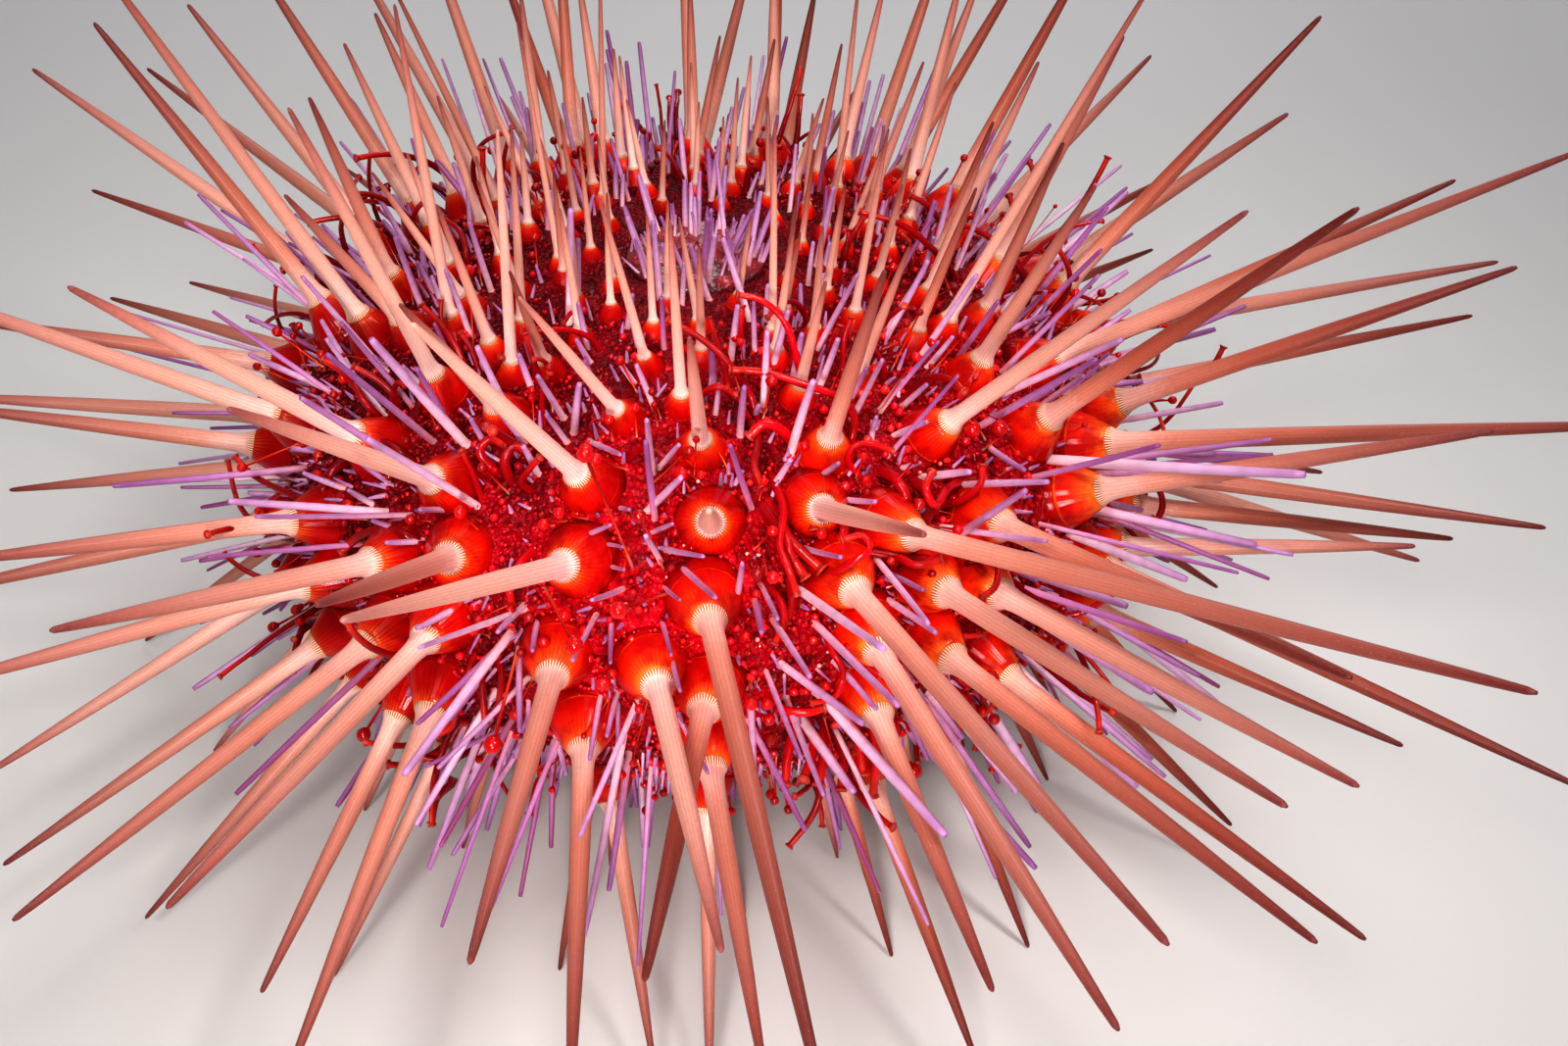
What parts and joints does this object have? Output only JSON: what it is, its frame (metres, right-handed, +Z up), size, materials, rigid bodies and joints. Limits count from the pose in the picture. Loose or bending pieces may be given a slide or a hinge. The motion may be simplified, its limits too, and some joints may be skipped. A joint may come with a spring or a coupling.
{
  "type": "red sea urchin",
  "caption": "Life-size still model of a red sea urchin with long tapered spines round a low rounded test, standing on the spines of its underside.",
  "frame": {"origin": "centre of the model's footprint on the floor that it stands on", "axes": "+Z up through the apical disc, -Y towards the side that the picture shows, +X to the right in the picture"},
  "size_m": [0.2028, 0.2124, 0.1038],
  "materials": {
    "spiny_interambulacra": "satin, wet-looking skin over calcite, salmon spines with violet small spines",
    "spiny_ambulacra": "satin, wet-looking maroon skin over calcite, salmon spines with violet small spines",
    "apical_plates": "satin, dark red plates with a glowing red centre",
    "mouth_membrane": "soft, wet, dark maroon",
    "teeth": "hard, off-white"
  },
  "bodies": {
    "root": {"interambulacrum_1": "spiny_interambulacra", "interambulacrum_2": "spiny_interambulacra", "interambulacrum_3": "spiny_interambulacra", "interambulacrum_4": "spiny_interambulacra", "interambulacrum_5": "spiny_interambulacra", "ambulacrum_1": "spiny_ambulacra", "ambulacrum_2": "spiny_ambulacra", "ambulacrum_3": "spiny_ambulacra", "ambulacrum_4": "spiny_ambulacra", "ambulacrum_5": "spiny_ambulacra", "apical_disc": "apical_plates", "peristome": "mouth_membrane", "lantern_teeth": "teeth"}
  },
  "joints": []
}
